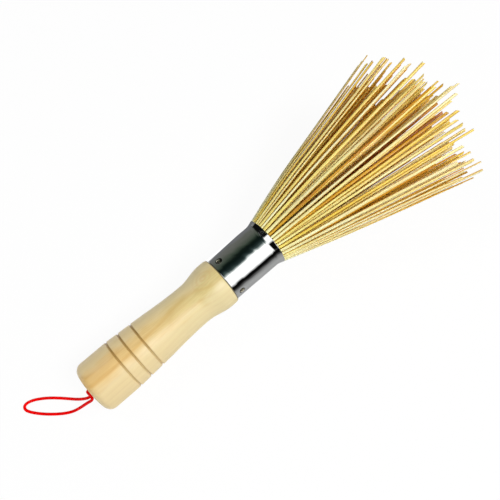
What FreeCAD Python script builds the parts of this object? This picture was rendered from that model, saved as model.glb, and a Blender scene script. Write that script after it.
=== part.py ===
import FreeCAD
import Part

import math
import os
import random

# A bamboo wok brush, lying as it comes to rest: a turned wooden handle, a sheet steel ferrule nailed to
# its tenon, and a few hundred bamboo splints that a wooden wedge spreads into a fan.
# Lengths are in millimetres and angles in degrees. The pieces are drawn about the brush's own axis, which
# runs along X from the butt to the splints, with Z up, and are then laid down on the floor.

# Turned handle
GRIP_LENGTH = 100.4
BUTT_DIAMETER = 33.3
BUTT_ROUNDING = 5.2
GROOVE_FROM_BUTT = (24.0, 32.2, 41.3)
GROOVE_DEPTH = 0.7
GROOVE_HALF_WIDTH = 0.8
GROOVED_END_DIAMETER = 31.2
WAIST_DIAMETER = 27.1
WAIST_FROM_SHOULDER = 22.5
HOLLOW_PULL = 0.38
COLLAR_DIAMETER = 32.0
COLLAR_LENGTH = 5.2
SHOULDER_DIAMETER = 30.8
SHOULDER_ROUNDING_LENGTH = 2.2
TENON_LENGTH = 14.0
TENON_CHAMFER = 0.8
TENON_CLEARANCE = 0.1

# Cord hole in the butt
CORD_HOLE_DIAMETER = 5.2
CORD_HOLE_DEPTH = 9.0
CORD_HOLE_CHAMFER = 0.5

# Sheet steel ferrule with a flared mouth
FERRULE_DIAMETER = 30.2
FERRULE_LENGTH = 37.2
SHEET = 0.4
FLARE_LENGTH = 5.4
FLARE_BEND_RADIUS = 6.0

# Nails through the ferrule into the tenon, each sunk in a dimple
NAIL_COUNT = 4
NAIL_FROM_SHOULDER = 4.7
NAIL_FIRST_ANGLE = 20.5
NAIL_STEP_ANGLE = 87.3
NAIL_SHANK_DIAMETER = 1.5
NAIL_SHANK_LENGTH = 9.0
NAIL_POINT_LENGTH = 1.6
NAIL_HEAD_DIAMETER = 2.9
NAIL_HEAD_CROWN = 0.45
NAIL_CLEARANCE = 0.04
DIMPLE_RADIUS = 6.5
DIMPLE_DEPTH = 0.5

# Wooden wedge in the heart of the bundle
WEDGE_TIP_DIAMETER = 6.0
WEDGE_HEAD_DIAMETER = 9.4
WEDGE_LENGTH = 22.0

# Bamboo splints
RING_COUNT = 8
SPLINT_PITCH = 1.75
SPLINT_THICKNESS = (0.8, 1.2)
SPLINT_UNEVENNESS = 0.34
SPLINT_TIP_TAPER = (0.75, 1.05)
SPLINT_GAP = 0.06
FREE_LENGTH = (129.0, 143.5)
OUTER_RING_SHORTER = 2.0
OUTER_RING_SPREAD = 0.6
NEAR_SCALLOP_DEPTH = 9.0
NEAR_SCALLOP_ANGLE = -68.0
NEAR_SCALLOP_FALL_OFF = 8
FAR_SCALLOP_DEPTH = 9.0
FAR_SCALLOP_ANGLE = 80.0
FAR_SCALLOP_FALL_OFF = 4
FAN_ANGLE = 18.2
FAN_ANGLE_PAST_BOW = 15.6
BOW_FROM_KNEE = 34.0
FAN_LEAN = -1.3
BEND_PLACE = (0.3, 0.7)
BEND_WANDER = 0.8
HEART_ANGLE = 4.0
FLOOR_PRESS = 1.2

# Hanging cord
CORD_DIAMETER = 1.8
CORD_APART = 2.3
CORD_ENTRY = 0.8
CORD_END_GAP = 0.6

SEED = 23
chance = random.Random(SEED)

# Places along the axis, from the butt
shoulder = GRIP_LENGTH
tenon_end = shoulder + TENON_LENGTH
ferrule_mouth = shoulder + FERRULE_LENGTH
flare_start = ferrule_mouth - FLARE_LENGTH
ferrule_bore = FERRULE_DIAMETER / 2 - SHEET
# The splints bend where the tangents of the ferrule's bore and flare meet.
knee = flare_start + (FLARE_BEND_RADIUS + SHEET) * math.tan(math.radians(FAN_ANGLE / 2))
bow = knee + BOW_FROM_KNEE


def vec(x, y, z=0.0):
    return FreeCAD.Vector(x, y, z)


def line(a, b):
    return Part.LineSegment(vec(*a), vec(*b)).toShape()


def arc(a, middle, b):
    return Part.Arc(vec(*a), vec(*middle), vec(*b)).toShape()


def arc_about(centre, radius, first, last):
    """An arc in the XY plane; the angles are counted from +X towards +Y."""
    points = []
    for angle in (first, (first + last) / 2, last):
        turn = math.radians(angle)
        points.append((centre[0] + radius * math.cos(turn), centre[1] + radius * math.sin(turn)))
    return arc(*points)


def turned(edges):
    """Spins a closed outline, drawn as X along the axis and Y as the radius, into a solid."""
    outline = Part.Face(Part.Wire(edges))
    return outline.revolve(vec(0, 0), vec(1, 0), 360)


def around(angle):
    """The direction away from the axis, at an angle counted from straight up towards +Y."""
    turn = math.radians(angle)
    return vec(0, math.sin(turn), math.cos(turn))


def grip_radius(x):
    """The straight taper of the grooved part, from the butt's first groove to the last one."""
    share = (x - GROOVE_FROM_BUTT[0]) / (GROOVE_FROM_BUTT[-1] - GROOVE_FROM_BUTT[0])
    share = min(max(share, 0.0), 1.0)
    return (BUTT_DIAMETER + share * (GROOVED_END_DIAMETER - BUTT_DIAMETER)) / 2


def grip_slope():
    """How fast the grooved part narrows."""
    run = GROOVE_FROM_BUTT[-1] - GROOVE_FROM_BUTT[0]
    return (GROOVED_END_DIAMETER - BUTT_DIAMETER) / 2 / run


def hollow(start, start_slope, end, end_slope):
    """A flowing curve of the lathe, tangent to a slope at each end."""
    pull = HOLLOW_PULL * (end[0] - start[0])
    curve = Part.BezierCurve()
    curve.setPoles([
        vec(*start),
        vec(start[0] + pull, start[1] + pull * start_slope),
        vec(end[0] - pull, end[1] - pull * end_slope),
        vec(*end),
    ])
    return curve.toShape()


def grip_outline():
    """The lathe outline of the grip, as edges from the butt's centre to the shoulder."""
    butt = BUTT_DIAMETER / 2
    edges = [
        line((0, 0), (0, butt - BUTT_ROUNDING)),
        arc_about((BUTT_ROUNDING, butt - BUTT_ROUNDING), BUTT_ROUNDING, 180, 90),
    ]
    at = (BUTT_ROUNDING, butt)
    for x in GROOVE_FROM_BUTT:
        near, far = (x + side * GROOVE_HALF_WIDTH for side in (-1, 1))
        bottom = (x, grip_radius(x) - GROOVE_DEPTH)
        edges.append(line(at, (near, grip_radius(near))))
        edges.append(line((near, grip_radius(near)), bottom))
        at = (far, grip_radius(far))
        edges.append(line(bottom, at))
    collar = COLLAR_DIAMETER / 2
    collar_start = shoulder - COLLAR_LENGTH
    waist = (shoulder - WAIST_FROM_SHOULDER, WAIST_DIAMETER / 2)
    edges.append(hollow(at, grip_slope(), waist, 0.0))
    edges.append(hollow(waist, 0.0, (collar_start, collar), 0.0))
    rounding_start = shoulder - SHOULDER_ROUNDING_LENGTH
    drop = collar - SHOULDER_DIAMETER / 2
    radius = (SHOULDER_ROUNDING_LENGTH**2 + drop**2) / (2 * drop)
    turn = math.degrees(math.asin(SHOULDER_ROUNDING_LENGTH / radius))
    edges.append(line((collar_start, collar), (rounding_start, collar)))
    edges.append(arc_about((rounding_start, collar - radius), radius, 90, 90 - turn))
    return edges


def nail_frames():
    """Where each nail goes in: a point on the ferrule's outside and the direction straight out there."""
    for i in range(NAIL_COUNT):
        out = around(NAIL_FIRST_ANGLE + i * NAIL_STEP_ANGLE)
        yield vec(shoulder + NAIL_FROM_SHOULDER, 0) + out * (FERRULE_DIAMETER / 2), out


def dimple_ball(surface, out, radius):
    """A ball that presses the dimple's bottom to its depth under the surface."""
    centre = surface + out * (DIMPLE_RADIUS - DIMPLE_DEPTH)
    return Part.makeSphere(radius, centre)


def make_handle():
    tenon = ferrule_bore - TENON_CLEARANCE
    edges = grip_outline() + [
        line((shoulder, SHOULDER_DIAMETER / 2), (shoulder, tenon)),
        line((shoulder, tenon), (tenon_end - TENON_CHAMFER, tenon)),
        line((tenon_end - TENON_CHAMFER, tenon), (tenon_end, tenon - TENON_CHAMFER)),
        line((tenon_end, tenon - TENON_CHAMFER), (tenon_end, 0)),
        line((tenon_end, 0), (0, 0)),
    ]
    handle = turned(edges)
    hole = CORD_HOLE_DIAMETER / 2
    handle = handle.cut(Part.makeCylinder(hole, CORD_HOLE_DEPTH, vec(0, 0), vec(1, 0)))
    mouth = Part.makeCone(hole + CORD_HOLE_CHAMFER, hole, CORD_HOLE_CHAMFER, vec(0, 0), vec(1, 0))
    handle = handle.cut(mouth)
    for surface, out in nail_frames():
        handle = handle.cut(dimple_ball(surface, out, DIMPLE_RADIUS + SHEET + TENON_CLEARANCE))
        handle = handle.cut(nail_shank(surface, out, NAIL_CLEARANCE))
    return handle


def make_ferrule():
    """A drawn sleeve: cylinder, bend and cone with a sheared rim, and a dimple and hole for each nail."""
    outside = FERRULE_DIAMETER / 2
    centre = (flare_start, outside + FLARE_BEND_RADIUS)
    slope = math.radians(FAN_ANGLE)
    along = (math.cos(slope), math.sin(slope))
    across = (-math.sin(slope), math.cos(slope))
    bend_inside = FLARE_BEND_RADIUS + SHEET
    outer_bend_end = (centre[0] - FLARE_BEND_RADIUS * across[0], centre[1] - FLARE_BEND_RADIUS * across[1])
    inner_bend_end = (centre[0] - bend_inside * across[0], centre[1] - bend_inside * across[1])
    reach = (ferrule_mouth - inner_bend_end[0]) / along[0]
    inner_rim = (inner_bend_end[0] + reach * along[0], inner_bend_end[1] + reach * along[1])
    outer_rim = (inner_rim[0] + SHEET * across[0], inner_rim[1] + SHEET * across[1])
    ferrule = turned([
        line((shoulder, ferrule_bore), (flare_start, ferrule_bore)),
        arc_about(centre, bend_inside, -90, -90 + FAN_ANGLE),
        line(inner_bend_end, inner_rim),
        line(inner_rim, outer_rim),
        line(outer_rim, outer_bend_end),
        arc_about(centre, FLARE_BEND_RADIUS, -90 + FAN_ANGLE, -90),
        line((flare_start, outside), (shoulder, outside)),
        line((shoulder, outside), (shoulder, ferrule_bore)),
    ])
    bore = Part.makeCylinder(ferrule_bore, FERRULE_LENGTH, vec(shoulder, 0), vec(1, 0))
    for surface, out in nail_frames():
        press = dimple_ball(surface, out, DIMPLE_RADIUS)
        dish = dimple_ball(surface, out, DIMPLE_RADIUS + SHEET).cut(press).common(bore)
        ferrule = ferrule.cut(press).fuse(dish)
        ferrule = ferrule.cut(nail_shank(surface, out, NAIL_CLEARANCE))
    return ferrule.removeSplitter()


def nail_shank(surface, out, grown=0.0):
    """A round shank and its point, driven in from the bottom of the dimple."""
    radius = NAIL_SHANK_DIAMETER / 2 + grown
    seat = surface - out * DIMPLE_DEPTH
    straight = NAIL_SHANK_LENGTH - NAIL_POINT_LENGTH
    shank = Part.makeCylinder(radius, straight + DIMPLE_DEPTH, surface, -out)
    point = Part.makeCone(radius, radius / 5, NAIL_POINT_LENGTH, seat - out * straight, -out)
    return shank.fuse(point)


def make_nail(surface, out):
    """A round-head brad whose head lies in the dimple."""
    head = NAIL_HEAD_DIAMETER / 2
    crown = (head**2 + NAIL_HEAD_CROWN**2) / (2 * NAIL_HEAD_CROWN)
    seat = surface - out * DIMPLE_DEPTH
    cap = Part.makeCylinder(head, DIMPLE_DEPTH + NAIL_HEAD_CROWN, seat, out)
    cap = cap.common(Part.makeSphere(crown, surface + out * (NAIL_HEAD_CROWN - crown)))
    cap = cap.common(dimple_ball(surface, out, DIMPLE_RADIUS - NAIL_CLEARANCE))
    return cap.fuse(nail_shank(surface, out)).removeSplitter()


def wedge_radius(x):
    share = (x - tenon_end) / WEDGE_LENGTH
    return (WEDGE_TIP_DIAMETER + share * (WEDGE_HEAD_DIAMETER - WEDGE_TIP_DIAMETER)) / 2


def make_wedge():
    return Part.makeCone(
        wedge_radius(tenon_end), wedge_radius(tenon_end + WEDGE_LENGTH), WEDGE_LENGTH, vec(tenon_end, 0), vec(1, 0)
    )


def fan_inside(x):
    """The radius inside which no splint comes: the wedge, and past the knee the hollow heart of the fan."""
    if x <= knee:
        return wedge_radius(x)
    return wedge_radius(knee) + (x - knee) * math.tan(math.radians(HEART_ANGLE))


def fan_outside(x):
    """The radius that holds every splint: the ferrule's bore, then the fan, a little less steep past its bow."""
    near = min(max(x - knee, 0.0), BOW_FROM_KNEE)
    far = max(x - bow, 0.0)
    steep = math.tan(math.radians(FAN_ANGLE))
    shallow = math.tan(math.radians(FAN_ANGLE_PAST_BOW))
    return ferrule_bore + near * steep + far * shallow


def rest_on_floor():
    """The tilt at which the butt's rounding and the fan both touch the floor, and how far the floor is
    below the axis at the butt and for each millimetre along it."""
    tip = knee + FREE_LENGTH[1] - OUTER_RING_SHORTER
    tip_drop = fan_outside(tip) - FLOOR_PRESS
    run = tip - BUTT_ROUNDING
    fall = tip_drop - (BUTT_DIAMETER / 2 - BUTT_ROUNDING)
    tilt = math.atan2(fall, run) - math.asin(BUTT_ROUNDING / math.hypot(run, fall))
    return tilt, tip_drop - tip * math.tan(tilt)


tilt, floor_at_butt = rest_on_floor()


def floor_drop(x):
    """How far below the axis the floor is, measured square to the axis."""
    return floor_at_butt + x * math.tan(tilt)


def ring_edge(x, share):
    """The radius of a course's edge at x; share is 0 at the fan's inside and 1 at its outside."""
    return fan_inside(x) + share * (fan_outside(x) - fan_inside(x))


class Cell:
    """The wedge of space that one splint keeps to: between two courses and two planes through the axis.

    Cells share no space, and each one widens in straight lines from station to station, so splints whose
    corners lie in their cells at every station never meet."""

    def __init__(self, ring, angle, sweep):
        self.inner_share = ring / RING_COUNT
        self.outer_share = (ring + 1) / RING_COUNT
        self.outermost = ring == RING_COUNT - 1
        self.out = around(angle)
        self.side = around(angle + 90)
        self.slope = math.tan(math.radians(sweep / 2))

    def inner(self, x):
        return ring_edge(x, self.inner_share) + SPLINT_GAP / 2

    def outer(self, x):
        return ring_edge(x, self.outer_share) - SPLINT_GAP / 2

    def width_at(self, x):
        return 2 * self.inner(x) * self.slope - SPLINT_GAP

    def deepest(self, x, width):
        """How far from the axis a splint's outer face may be, so that its corners stay in the course."""
        return math.sqrt(self.outer(x) ** 2 - (width / 2) ** 2)

    def place(self, x, width, thickness, lean, sway):
        """The section's centre as distances along out and side; lean is 0 to 1 and sway is -1 to 1."""
        nearest = self.inner(x) + thickness / 2
        sideways = sway * max((nearest - thickness / 2) * self.slope - width / 2 - SPLINT_GAP, 0.0)
        furthest = math.sqrt(self.outer(x) ** 2 - (abs(sideways) + width / 2) ** 2) - thickness / 2
        outwards = nearest + lean * (furthest - nearest)
        if self.outermost and self.out.z < 0:
            lowest = sideways * -self.side.z + width / 2 * abs(self.side.z)
            on_floor = (floor_drop(x) - lowest) / -self.out.z - thickness / 2
            if on_floor < furthest:
                outwards = on_floor
        return outwards, sideways

    def section(self, x, width, thickness, lean, sway):
        outwards, sideways = self.place(x, width, thickness, lean, sway)
        drift = max(x - bow, 0.0) * math.tan(math.radians(FAN_LEAN))
        centre = vec(x, drift) + self.out * outwards + self.side * sideways
        half_out = self.out * (thickness / 2)
        half_side = self.side * (width / 2)
        return [
            centre - half_out - half_side,
            centre + half_out - half_side,
            centre + half_out + half_side,
            centre - half_out + half_side,
        ]


def faceted(sections):
    """A solid through four-cornered sections whose sides stay parallel, so that every face is flat."""
    first, last = sections[0], sections[-1]
    faces = [Part.makePolygon(first + first[:1]), Part.makePolygon(last + last[:1])]
    for a, b in zip(sections, sections[1:]):
        for i in range(4):
            j = (i + 1) % 4
            faces.append(Part.makePolygon([a[i], a[j], b[j], b[i], a[i]]))
    solid = Part.makeSolid(Part.makeShell([Part.Face(edge) for edge in faces]))
    if solid.Volume < 0:
        solid.reverse()
    return solid


def scallop(out):
    """How much shorter the splints are trimmed on this side of the fan: the tips have two hollows."""
    near = max(out.dot(around(NEAR_SCALLOP_ANGLE)), 0.0)
    far = max(out.dot(around(FAR_SCALLOP_ANGLE)), 0.0)
    return NEAR_SCALLOP_DEPTH * near**NEAR_SCALLOP_FALL_OFF + FAR_SCALLOP_DEPTH * far**FAR_SCALLOP_FALL_OFF


def make_splint(cell, shorter):
    width = min(cell.width_at(tenon_end), cell.width_at(knee))
    room = min(cell.deepest(x, width) - cell.inner(x) for x in (tenon_end, knee))
    thickness = min(chance.uniform(*SPLINT_THICKNESS), room)
    taper = chance.uniform(*SPLINT_TIP_TAPER)
    tip = knee + chance.uniform(*FREE_LENGTH) - shorter - scallop(cell.out)
    bend = bow + chance.uniform(*BEND_PLACE) * (tip - bow)
    least = OUTER_RING_SPREAD if cell.outermost else 0.0
    lean, sway = chance.uniform(least, 1), chance.uniform(-1, 1)

    def free_section(x, share):
        """A section past the knee; share says how far the splint has gone to its own lean and sway."""
        size = 1 + (taper - 1) * (x - knee) / (tip - knee)
        wander = (1 - share) * BEND_WANDER
        leaning = min(max(lean + chance.uniform(-wander, wander), least), 1.0)
        swaying = min(max(share * sway + chance.uniform(-wander, wander), -1.0), 1.0)
        return cell.section(x, width * size, thickness * size, leaning, swaying)

    return faceted([
        cell.section(tenon_end, width, thickness, chance.random(), 0),
        cell.section(knee, width, thickness, chance.random(), 0),
        free_section(bow, 0.3),
        free_section(bend, 0.6),
        free_section(tip, 1.0),
    ])


def make_splint_ring(ring):
    """One course of splints of uneven width, laid side by side round the axis."""
    tightest = ring_edge(tenon_end, ring / RING_COUNT)
    count = max(int(2 * math.pi * tightest / SPLINT_PITCH), 3)
    shares = [1 + chance.uniform(-SPLINT_UNEVENNESS, SPLINT_UNEVENNESS) for _ in range(count)]
    shorter = OUTER_RING_SHORTER * ring / (RING_COUNT - 1)
    angle = chance.uniform(0, 360)
    splints = []
    for share in shares:
        sweep = 360 * share / sum(shares)
        splints.append(make_splint(Cell(ring, angle + sweep / 2, sweep), shorter))
        angle += sweep
    return Part.makeCompound(splints)


def laid_down(shape, shift=None):
    """Tilts a shape from the brush's own axis onto the floor, and moves it by the shift."""
    turn = FreeCAD.Rotation(vec(0, 1, 0), -math.degrees(tilt))
    lift = vec(0, 0, floor_at_butt * math.cos(tilt))
    moved = shape.copy()
    moved.Placement = FreeCAD.Placement(lift + (shift or vec(0, 0)), turn)
    return moved


def in_hole(depth, across):
    """A point in the cord hole, before the brush's last shift: across moves it from the hole's lower -Y
    side to its upper +Y side."""
    turn = FreeCAD.Rotation(vec(0, 1, 0), -math.degrees(tilt))
    aside = vec(0, 1, 1).normalize() * across
    return turn.multVec(vec(depth, 0) + aside) + vec(0, 0, floor_at_butt * math.cos(tilt))


def cord_route():
    """The hanging loop: out of the hole and down to the floor, round the loop, and back up over itself
    with a sharp fold by the hole.

    The free points are measured from the mouth of the hole: out from it, towards +Y, and up from the floor."""
    mouth = in_hole(0, 0)
    lying = CORD_DIAMETER / 2
    free = [
        (-2.7, -1.7, 13.9),
        (-5.4, 0.7, 10.0),
        (-9.2, 5.6, 4.2),
        (-12.8, 10.2, 1.4),
        (-17.2, 14.8, lying),
        (-22.6, 19.5, lying),
        (-28.0, 23.0, lying),
        (-31.6, 24.5, lying),
        (-34.6, 24.8, lying),
        (-36.2, 23.7, lying),
        (-36.5, 21.7, lying),
        (-35.5, 19.6, lying),
        (-33.6, 17.0, lying),
        (-30.3, 13.3, lying),
        (-25.6, 9.0, lying),
        (-20.6, 5.2, lying),
        (-16.2, 2.4, 1.8),
        (-12.4, 0.4, 4.6),
        (-8.8, -1.4, 8.6),
        (-5.6, -3.2, 13.0),
        (-3.3, -4.9, 16.3),
        (-2.0, -4.9, 18.8),
        (-2.0, -2.9, 20.3),
        (-2.3, -0.6, 19.9),
        (-1.7, 0.7, 18.0),
    ]
    side = CORD_APART / 2
    deep = CORD_HOLE_DEPTH - CORD_END_GAP
    entry, halfway = CORD_ENTRY, (CORD_ENTRY + deep) / 2
    route = [in_hole(deep, -side), in_hole(halfway, -side * 1.02), in_hole(entry, -side)]
    route += [vec(mouth.x + out, mouth.y + aside, up) for out, aside, up in free]
    route += [in_hole(entry, side), in_hole(halfway, side * 1.02), in_hole(deep, side)]
    return route


def rounded_path(points):
    """Straight runs joined by tangent arcs, each as large as the shorter of its two runs allows."""
    edges, radii = [], []
    at = points[0]
    for before, corner, after in zip(points, points[1:], points[2:]):
        back, on = before - corner, after - corner
        shorter = min(back.Length, on.Length)
        turn = math.pi - back.getAngle(on)
        back.normalize()
        on.normalize()
        inset = 0.45 * shorter
        radius = inset / math.tan(turn / 2)
        radii.append(radius)
        halfway = (back + on).normalize()
        centre = corner + halfway * math.hypot(radius, inset)
        start, end = corner + back * inset, corner + on * inset
        middle = centre - halfway * radius
        edges.append(Part.LineSegment(at, start).toShape())
        edges.append(Part.Arc(start, middle, end).toShape())
        at = end
    edges.append(Part.LineSegment(at, points[-1]).toShape())
    return Part.Wire(edges), radii


def make_cord(route):
    path, radii = rounded_path(route)
    start = Part.Wire(Part.makeCircle(CORD_DIAMETER / 2, route[0], route[1] - route[0]))
    cord = path.makePipeShell([start], True, False)
    section = math.pi * CORD_DIAMETER**2 / 4
    print("cord length %.1f mm, volume over section times length %.4f" % (
        path.Length, cord.Volume / (section * path.Length)))
    print("cord bend radii in mm: " + ", ".join("%.1f" % r for r in radii))
    return cord


def main():
    os.makedirs("parts", exist_ok=True)
    pieces = {
        "handle": make_handle(),
        "ferrule": make_ferrule(),
        "ferrule_nails": Part.makeCompound([make_nail(*frame) for frame in nail_frames()]),
        "spreading_wedge": make_wedge(),
    }
    for ring in range(RING_COUNT):
        pieces["splint_ring_%d" % (ring + 1)] = make_splint_ring(ring)
    laid = Part.makeCompound([laid_down(shape) for shape in pieces.values()])
    box = laid.optimalBoundingBox(False)
    to_middle = vec(-(box.XMin + box.XMax) / 2, -(box.YMin + box.YMax) / 2)
    for name, shape in pieces.items():
        laid_down(shape, to_middle).exportStep("parts/%s.step" % name)
    cord = make_cord([point + to_middle for point in cord_route()])
    cord.exportStep("parts/hanging_cord.step")
    splints = sum(len(pieces[name].Solids) for name in pieces if name.startswith("splint"))
    print("tilt %.2f degrees, %d splints, box %s" % (math.degrees(tilt), splints, box))


main()
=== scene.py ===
import math

import bpy
import numpy as np
from mathutils import Matrix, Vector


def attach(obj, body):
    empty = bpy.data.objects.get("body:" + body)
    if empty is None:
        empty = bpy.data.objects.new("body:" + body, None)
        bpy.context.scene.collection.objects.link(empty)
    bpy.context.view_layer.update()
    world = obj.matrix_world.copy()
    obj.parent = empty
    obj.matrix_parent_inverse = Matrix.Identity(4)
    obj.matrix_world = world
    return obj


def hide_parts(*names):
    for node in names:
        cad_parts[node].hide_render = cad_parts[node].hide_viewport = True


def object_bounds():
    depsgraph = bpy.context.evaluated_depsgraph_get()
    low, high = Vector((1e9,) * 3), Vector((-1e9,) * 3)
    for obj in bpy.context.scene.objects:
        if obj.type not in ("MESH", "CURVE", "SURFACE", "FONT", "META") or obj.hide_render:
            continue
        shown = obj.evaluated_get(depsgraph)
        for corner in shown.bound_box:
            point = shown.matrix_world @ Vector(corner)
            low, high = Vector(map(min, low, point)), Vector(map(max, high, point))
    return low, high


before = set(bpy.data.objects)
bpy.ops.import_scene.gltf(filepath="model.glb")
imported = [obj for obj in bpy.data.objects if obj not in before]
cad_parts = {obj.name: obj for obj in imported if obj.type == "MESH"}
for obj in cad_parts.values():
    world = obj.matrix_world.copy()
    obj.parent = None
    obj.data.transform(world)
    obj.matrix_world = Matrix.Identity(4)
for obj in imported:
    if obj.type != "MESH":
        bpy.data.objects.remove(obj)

# The bamboo wok brush as the photograph shows it. Lengths are in metres, in the CAD model's frame: the brush
# lies on the floor, its butt towards -X and its splints towards +X.

cad_box = [list(corner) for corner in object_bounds()]
MM = 0.001
chance = np.random.default_rng(11)


# The brush's own axis, read from the frame.

def node_mesh(name):
    """A CAD node's corners, one row each, and its triangles as rows of three. Corners that agree to the
    micrometre are merged."""
    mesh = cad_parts[name].data
    mesh.calc_loop_triangles()
    points = np.empty(len(mesh.vertices) * 3)
    mesh.vertices.foreach_get("co", points)
    triangles = np.empty(len(mesh.loop_triangles) * 3, dtype=int)
    mesh.loop_triangles.foreach_get("vertices", triangles)
    corners, merged = np.unique(points.reshape(-1, 3).round(6), axis=0, return_inverse=True)
    return corners, merged.reshape(-1)[triangles].reshape(-1, 3)


wedge = node_mesh("spreading_wedge")[0]
# The wedge is a plain tapered plug, so its corners spread most along the brush's axis.
AXIS = np.linalg.eigh(np.cov(wedge.T))[1][:, -1]
AXIS *= np.sign(AXIS[0])
# The corners round its end towards the butt have their middle on the axis.
wedge_end = wedge[wedge @ AXIS < (wedge @ AXIS).min() + 0.1 * MM].mean(axis=0)
SIDE = np.array([0.0, 1.0, 0.0])
UP = np.cross(AXIS, SIDE)
TILT = math.atan2(AXIS[2], AXIS[0])
BUTT = wedge_end + AXIS * ((node_mesh("handle")[0] - wedge_end) @ AXIS).min()


def place(along, sideways, upwards):
    """Points measured from the butt's centre: along the brush, towards +Y, and away from the floor."""
    along, sideways, upwards = np.broadcast_arrays(along, sideways, upwards)
    return BUTT + along[..., None] * AXIS + sideways[..., None] * SIDE + upwards[..., None] * UP


# Sizes. Places are distances along the axis from the butt.

GRIP_LENGTH = 100.4 * MM
BUTT_RADIUS = 16.65 * MM
BUTT_ROUNDING = 5.2 * MM
GROOVES = (24.0 * MM, 32.2 * MM, 41.3 * MM)
GROOVE_DEPTH = 0.7 * MM
GROOVE_HALF_WIDTH = 0.8 * MM
GROOVED_END_RADIUS = 15.6 * MM
WAIST_RADIUS = 13.55 * MM
WAIST = GRIP_LENGTH - 22.5 * MM
# How far the inner poles of a hollow's curve lie from its ends, as a share of its length.
HOLLOW_PULL = 0.38
COLLAR_RADIUS = 16.0 * MM
COLLAR = GRIP_LENGTH - 5.2 * MM
SHOULDER_RADIUS = 15.4 * MM
SHOULDER_ROUNDING = 2.2 * MM
HOLE_RADIUS = 2.6 * MM
HOLE_DEPTH = 9 * MM
HOLE_CHAMFER = 0.5 * MM
TENON_LENGTH = 14 * MM
TENON_RADIUS = 14.65 * MM
# The handle's outline starts and ends this far from the axis, where a small flat closes it.
POLE_RADIUS = 0.05 * MM

FERRULE_RADIUS = 15.1 * MM
FERRULE_LENGTH = 37.2 * MM
SHEET = 0.4 * MM
FLARE_LENGTH = 5.4 * MM
FLARE_BEND_RADIUS = 9 * MM
FAN_ANGLE = math.radians(18.2)
NAIL_ANGLES = np.radians(20.5 + 87.3 * np.arange(4))
NAIL_PLACE = GRIP_LENGTH + 4.7 * MM
NAIL_HEAD_RADIUS = 1.45 * MM
NAIL_HEAD_CROWN = 0.45 * MM
DIMPLE_BALL = 4.2 * MM
DIMPLE_DEPTH = 0.55 * MM

COURSES = 8
STATIONS = 5
# A splint's turn at its tip, in radians, as a standard deviation.
SPLINT_TWIST = 0.3
# The most that a slanting cut runs along the brush from the strip's middle to its edge.
SPLINT_SLANT = 1.0 * MM
STRIP_HALF_WIDTH = 0.5 * MM
# Shades go from 0, brown, to 1, straw. Each course's middle is a step paler than that of the one inside it:
# painted shade, darker deeper in the bundle.
TONE_BASE, DEPTH_SHADE_STEP, TONE_SPREAD = 0.32, 0.055, 0.24

CORD_DIAMETER = 1.8 * MM


# Meshes.

def srgb(colour):
    """A colour as linear red, green, blue and alpha, from its sRGB hex value: a straight line near black, and
    above it the share plus 0.055, divided by 1.055, to the power of 2.4."""
    values = np.array([int(colour[i:i + 2], 16) for i in (1, 3, 5)]) / 255
    linear = np.where(values <= 0.04045, values / 12.92, ((values + 0.055) / 1.055) ** 2.4)
    return (*linear, 1.0)


def smooth_mesh(name, points, faces, sharp):
    """A mesh shaded smooth, except along the edges that bend by more than an angle."""
    mesh = bpy.data.meshes.new(name)
    mesh.from_pydata(points.reshape(-1, 3), [], faces)
    mesh.update()
    mesh.shade_smooth()
    mesh.set_sharp_from_angle(angle=sharp)
    return mesh


def corner_values(mesh, name, values):
    """Gives a mesh a named layer with one number for each of its corners."""
    layer = mesh.attributes.new(name, "FLOAT", "POINT")
    layer.data.foreach_set("value", values.ravel().astype(np.float32))


def in_scene(name, data):
    """A new object of the scene, unturned and at the origin."""
    piece = bpy.data.objects.new(name, data)
    bpy.context.scene.collection.objects.link(piece)
    return piece


def finished(name, data, material, slot, *nodes):
    """Adds a finished piece: it rides on the brush, wears the material given and stands for CAD nodes, which it
    hides. The slot is not used.
    """
    piece = in_scene(name, data)
    data.materials.append(material)
    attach(piece, "root")
    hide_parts(*nodes)
    return piece


def tube_faces(rows, columns, closed=False):
    """The faces of a grid of rows whose last column joins its first, as rows of four corners. Where it is
    closed, its last row joins its first too."""
    row, column = np.meshgrid(np.arange(rows if closed else rows - 1), np.arange(columns), indexing="ij")
    start, following_start = row * columns, (row + 1) % rows * columns
    following = (column + 1) % columns
    corners = [following_start + column, start + column, start + following, following_start + following]
    return np.stack(corners, axis=-1).reshape(-1, 4)


def end_caps(first, rows, columns):
    """The two faces that close a tube's first and last row, both facing away from it."""
    ring = first + np.arange(columns)
    return [ring[::-1].tolist(), (ring + (rows - 1) * columns).tolist()]


def around(turns):
    """Angles once round the axis, positive towards +Y. They run by way of -Y, so that a tube's faces point
    outwards."""
    return -np.linspace(0, 2 * math.pi, turns, endpoint=False)


def bend(centre, radius, first, last, steps):
    """Points of an arc in the plane of distance along and distance out: the centre plus the radius times the
    angle's cosine along and its sine out."""
    angle = np.radians(np.linspace(first, last, steps))
    return np.stack([centre[0] + radius * np.cos(angle), centre[1] + radius * np.sin(angle)], axis=-1)


def hollow(start, start_slope, end, end_slope, steps):
    """The cubic curve (1-t)^3 a + 3 (1-t)^2 t b + 3 (1-t) t^2 c + t^3 d, tangent to a slope at each end."""
    pull = HOLLOW_PULL * (end[0] - start[0])
    poles = np.array([start, (start[0] + pull, start[1] + pull * start_slope),
                      (end[0] - pull, end[1] - pull * end_slope), end])
    t = np.linspace(0, 1, steps)[:, None]
    weights = np.hstack([(1 - t) ** 3, 3 * (1 - t) ** 2 * t, 3 * (1 - t) * t**2, t**3])
    return weights @ poles


def grip_radius(x):
    """The straight taper of the grooved part."""
    share = np.clip((x - GROOVES[0]) / (GROOVES[-1] - GROOVES[0]), 0, 1)
    return BUTT_RADIUS + share * (GROOVED_END_RADIUS - BUTT_RADIUS)


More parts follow.
